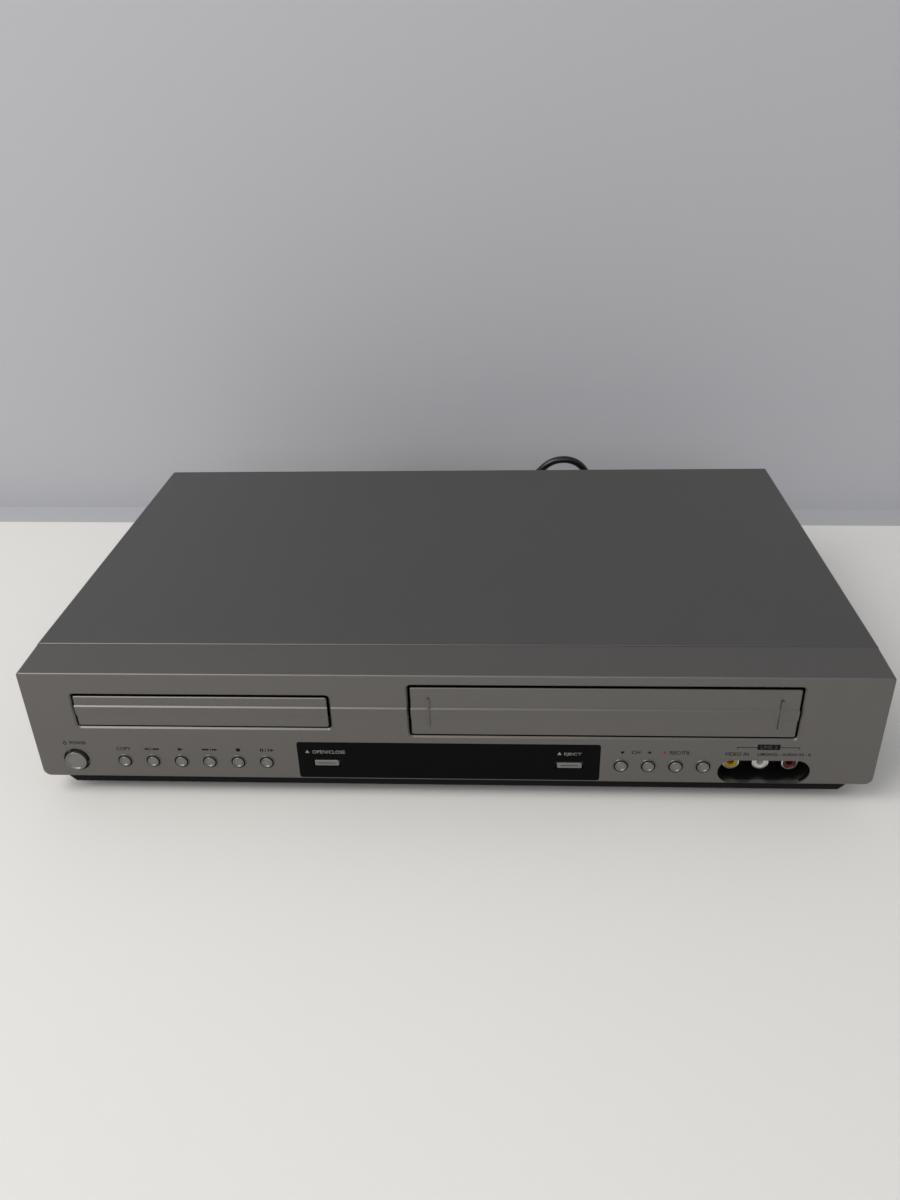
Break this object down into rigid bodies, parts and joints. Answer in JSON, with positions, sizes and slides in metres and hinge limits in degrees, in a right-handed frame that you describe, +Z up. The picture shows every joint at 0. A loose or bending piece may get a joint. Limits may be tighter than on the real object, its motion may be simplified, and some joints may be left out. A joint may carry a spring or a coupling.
{
  "type": "disc and videocassette player",
  "caption": "Low home cabinet that plays discs from a sliding tray and videocassettes through a hinged door, with push buttons, a dark display window, rear sockets and a coiled mains lead.",
  "frame": {"origin": "on the floor, under the middle of the cabinet with its buttons and aerial sockets, its lead left out", "axes": "+X the viewer's right, +Y to the back, +Z up"},
  "size_m": [0.43, 0.3645, 0.0785],
  "materials": {
    "front_paint": "satin metallic paint",
    "cover_paint": "fine satin",
    "black_steel": "satin",
    "galvanised": "plain",
    "black_plastic": "moulded",
    "window_plastic": "polished",
    "foot_rubber": "matte",
    "screw_steel": "plain",
    "board": "soldered",
    "nickel": "bright",
    "yellow_plastic": "moulded",
    "white_plastic": "moulded",
    "red_plastic": "moulded",
    "gear_plastic": "moulded",
    "loader_plastic": "moulded",
    "tray_plastic": "moulded",
    "drum_aluminium": "turned",
    "shaft_steel": "ground",
    "pinch_rubber": "ground",
    "cord_rubber": "matte"
  },
  "bodies": {
    "cabinet": {"front_bezel": "front_paint", "top_cover": "cover_paint", "bottom_pan": "black_steel", "rear_panel": "black_steel", "display_window": "window_plastic", "jack_recess": "black_plastic", "feet": "foot_rubber", "case_screws": "screw_steel", "mech_screws": "screw_steel", "front_board": "board", "main_board": "board", "power_board": "board", "video_jack": "yellow_plastic", "left_audio_jack": "white_plastic", "right_audio_jack": "red_plastic", "jack_sleeves": "nickel", "rear_jack_block": "black_plastic", "rear_jack_inserts": "white_plastic", "rf_tuner": "galvanised", "loader_frame": "loader_plastic", "tray_motor": "galvanised", "door_spring": "shaft_steel", "deck_plate": "galvanised", "lower_drum": "drum_aluminium", "basket_frame": "galvanised", "cord_gland": "black_plastic", "power_cord": "cord_rubber", "cord_coil": "cord_rubber", "power_plug": "cord_rubber"},
    "tray": {"disc_tray": "tray_plastic", "tray_fascia": "front_paint"},
    "tray_gear": {"tray_gear": "gear_plastic"},
    "motor_gear": {"motor_gear": "gear_plastic"},
    "traverse": {"traverse_plate": "galvanised", "sled_rods": "shaft_steel"},
    "turntable": {"turntable": "black_plastic"},
    "sled": {"pickup_sled": "black_plastic"},
    "clamp": {"disc_clamp": "gear_plastic"},
    "door": {"cassette_door": "front_paint"},
    "supply_reel": {"supply_reel": "gear_plastic"},
    "takeup_reel": {"takeup_reel": "gear_plastic"},
    "drum": {"upper_drum": "drum_aluminium"},
    "capstan": {"capstan": "shaft_steel"},
    "pinch_arm": {"pinch_arm": "galvanised"},
    "pinch_roller": {"pinch_roller": "pinch_rubber"},
    "carriage": {"basket_carriage": "galvanised"},
    "basket": {"cassette_basket": "galvanised"},
    "power_button": {"power_button": "front_paint"},
    "copy_button": {"copy_button": "front_paint"},
    "rewind_button": {"rewind_button": "front_paint"},
    "play_button": {"play_button": "front_paint"},
    "forward_button": {"forward_button": "front_paint"},
    "stop_button": {"stop_button": "front_paint"},
    "pause_button": {"pause_button": "front_paint"},
    "channel_down_button": {"channel_down_button": "front_paint"},
    "channel_up_button": {"channel_up_button": "front_paint"},
    "record_button": {"record_button": "front_paint"},
    "source_button": {"source_button": "front_paint"},
    "open_button": {"open_button": "front_paint"},
    "eject_button": {"eject_button": "front_paint"}
  },
  "joints": [
    {"name": "power_press", "type": "slide", "parent": "cabinet", "child": "power_button", "axis": [0, 1, 0], "range_m": [0, 0.0008], "stiffness_N_per_m": 600},
    {"name": "copy_press", "type": "slide", "parent": "cabinet", "child": "copy_button", "axis": [0, 1, 0], "range_m": [0, 0.0008], "stiffness_N_per_m": 600},
    {"name": "rewind_press", "type": "slide", "parent": "cabinet", "child": "rewind_button", "axis": [0, 1, 0], "range_m": [0, 0.0008], "stiffness_N_per_m": 600},
    {"name": "play_press", "type": "slide", "parent": "cabinet", "child": "play_button", "axis": [0, 1, 0], "range_m": [0, 0.0008], "stiffness_N_per_m": 600},
    {"name": "forward_press", "type": "slide", "parent": "cabinet", "child": "forward_button", "axis": [0, 1, 0], "range_m": [0, 0.0008], "stiffness_N_per_m": 600},
    {"name": "stop_press", "type": "slide", "parent": "cabinet", "child": "stop_button", "axis": [0, 1, 0], "range_m": [0, 0.0008], "stiffness_N_per_m": 600},
    {"name": "pause_press", "type": "slide", "parent": "cabinet", "child": "pause_button", "axis": [0, 1, 0], "range_m": [0, 0.0008], "stiffness_N_per_m": 600},
    {"name": "channel_down_press", "type": "slide", "parent": "cabinet", "child": "channel_down_button", "axis": [0, 1, 0], "range_m": [0, 0.0008], "stiffness_N_per_m": 600},
    {"name": "channel_up_press", "type": "slide", "parent": "cabinet", "child": "channel_up_button", "axis": [0, 1, 0], "range_m": [0, 0.0008], "stiffness_N_per_m": 600},
    {"name": "record_press", "type": "slide", "parent": "cabinet", "child": "record_button", "axis": [0, 1, 0], "range_m": [0, 0.0008], "stiffness_N_per_m": 600},
    {"name": "source_press", "type": "slide", "parent": "cabinet", "child": "source_button", "axis": [0, 1, 0], "range_m": [0, 0.0008], "stiffness_N_per_m": 600},
    {"name": "open_press", "type": "slide", "parent": "cabinet", "child": "open_button", "axis": [0, 1, 0], "range_m": [0, 0.0008], "stiffness_N_per_m": 600},
    {"name": "eject_press", "type": "slide", "parent": "cabinet", "child": "eject_button", "axis": [0, 1, 0], "range_m": [0, 0.0008], "stiffness_N_per_m": 600},
    {"name": "tray_slide", "type": "slide", "parent": "cabinet", "child": "tray", "axis": [0, -1, 0], "range_m": [0, 0.135]},
    {"name": "tray_gear_spin", "type": "hinge", "parent": "cabinet", "child": "tray_gear", "pos_m": [-0.07913, -0.1021, 0.042], "axis": [0, 0, -1], "range_deg": [0, 573.2]},
    {"name": "motor_gear_spin", "type": "hinge", "parent": "cabinet", "child": "motor_gear", "pos_m": [-0.10312, -0.1021, 0.038], "axis": [0, 0, 1], "range_deg": [0, 1146.3]},
    {"name": "traverse_lift", "type": "slide", "parent": "cabinet", "child": "traverse", "axis": [0, 0, 1], "range_m": [0, 0.0035]},
    {"name": "turntable_spin", "type": "hinge", "parent": "traverse", "child": "turntable", "pos_m": [-0.12425, -0.0641, 0.05], "axis": [0, 0, 1], "continuous": true},
    {"name": "sled_slide", "type": "slide", "parent": "traverse", "child": "sled", "axis": [0, 1, 0], "range_m": [0, 0.034]},
    {"name": "clamp_spin", "type": "hinge", "parent": "cabinet", "child": "clamp", "pos_m": [-0.12425, -0.0641, 0.062], "axis": [0, 0, 1], "continuous": true},
    {"name": "door_swing", "type": "hinge", "parent": "cabinet", "child": "door", "pos_m": [0.0773, -0.1319, 0.0724], "axis": [1, 0, 0], "range_deg": [0, 88], "stiffness_Nm_per_rad": 0.004, "springref_deg": -28.65},
    {"name": "supply_spin", "type": "hinge", "parent": "cabinet", "child": "supply_reel", "pos_m": [0.0313, -0.0681, 0.022], "axis": [0, 0, 1], "continuous": true},
    {"name": "takeup_spin", "type": "hinge", "parent": "cabinet", "child": "takeup_reel", "pos_m": [0.1233, -0.0681, 0.022], "axis": [0, 0, 1], "continuous": true},
    {"name": "drum_spin", "type": "hinge", "parent": "cabinet", "child": "drum", "pos_m": [0.0653, 0.0339, 0.0205], "axis": [0, 0.1028, 0.9947], "continuous": true},
    {"name": "capstan_spin", "type": "hinge", "parent": "cabinet", "child": "capstan", "pos_m": [0.1373, 0.0039, 0.02], "axis": [0, 0, 1], "continuous": true},
    {"name": "pinch_swing", "type": "hinge", "parent": "cabinet", "child": "pinch_arm", "pos_m": [0.1633, 0.0159, 0.024], "axis": [0, 0, 1], "range_deg": [0, 30], "stiffness_Nm_per_rad": 0.02},
    {"name": "pinch_roll", "type": "hinge", "parent": "pinch_arm", "child": "pinch_roller", "pos_m": [0.13988, 0.02732, 0.032], "axis": [0, 0, 1], "continuous": true},
    {"name": "carriage_slide", "type": "slide", "parent": "cabinet", "child": "carriage", "axis": [0, 1, 0], "range_m": [0, 0.055]},
    {"name": "basket_drop", "type": "slide", "parent": "carriage", "child": "basket", "axis": [0, 0, -1], "range_m": [0, 0.018]}
  ],
  "couplings": [
    {"joint": "tray_gear_spin", "follows": "tray_slide", "rad_per_m": 74.074},
    {"joint": "motor_gear_spin", "follows": "tray_slide", "rad_per_m": 148.15}
  ]
}
